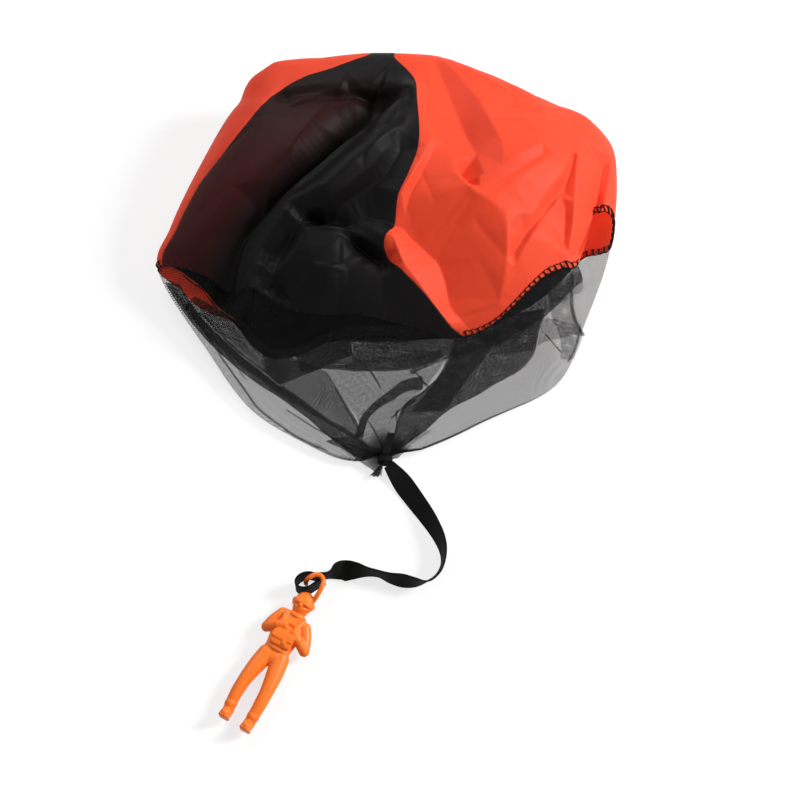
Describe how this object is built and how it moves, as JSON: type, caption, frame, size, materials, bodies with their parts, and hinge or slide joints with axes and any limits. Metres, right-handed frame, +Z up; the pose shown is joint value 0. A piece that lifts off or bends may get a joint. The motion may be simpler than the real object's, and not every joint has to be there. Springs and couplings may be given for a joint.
{
  "type": "toy parachute",
  "caption": "Toy parachute lying on a table: nylon gore canopy, tulle skirt gathered to a knot, flat ribbon with a sewn eye, and a moulded jumper hooked into the eye.",
  "frame": {"origin": "on the table plane under the middle of the canopy, on the flat underside of the back black gore", "axes": "+Z up from the table, +Y from the figure's end towards the canopy's crown, +X to the right seen from the figure's end"},
  "size_m": [0.2731, 0.4085, 0.0817],
  "materials": {
    "black_nylon": "thin taffeta weave, dull sheen",
    "orange_nylon": "thin taffeta weave, dull sheen",
    "black_tulle": "open hexagon net, see-through",
    "black_thread": "overlock stitching",
    "black_ribbon": "woven ribbon, matte",
    "orange_plastic": "moulded, semi-gloss"
  },
  "bodies": {
    "canopy": {"gore_front_black": "black_nylon", "gore_left_orange": "orange_nylon", "gore_back_black": "black_nylon", "gore_right_orange": "orange_nylon", "hem_front_black": "black_thread", "hem_left_orange": "black_thread", "hem_back_black": "black_thread", "hem_right_orange": "black_thread", "skirt_front_black": "black_tulle", "skirt_left_orange": "black_tulle", "skirt_back_black": "black_tulle", "skirt_right_orange": "black_tulle", "seam_front_right": "black_thread", "seam_front_left": "black_thread", "seam_back_left": "black_thread", "seam_back_right": "black_thread", "gather_bundle": "black_tulle", "gather_wrap": "black_ribbon", "gather_tuft": "black_tulle", "ribbon_tail": "black_ribbon"},
    "ribbon_strap": {"ribbon": "black_ribbon", "eye_tack": "black_thread"},
    "figure": {"jumper_figure": "orange_plastic"}
  },
  "joints": [
    {"name": "ribbon_swing", "type": "hinge", "parent": "canopy", "child": "ribbon_strap", "pos_m": [0.001, -0.1538, 0], "axis": [0, 0, 1], "range_deg": [-15, 20]},
    {"name": "figure_swing", "type": "hinge", "parent": "ribbon_strap", "child": "figure", "pos_m": [-0.0445, -0.2246, 0], "axis": [0, 0, 1], "range_deg": [-35, 15]}
  ]
}
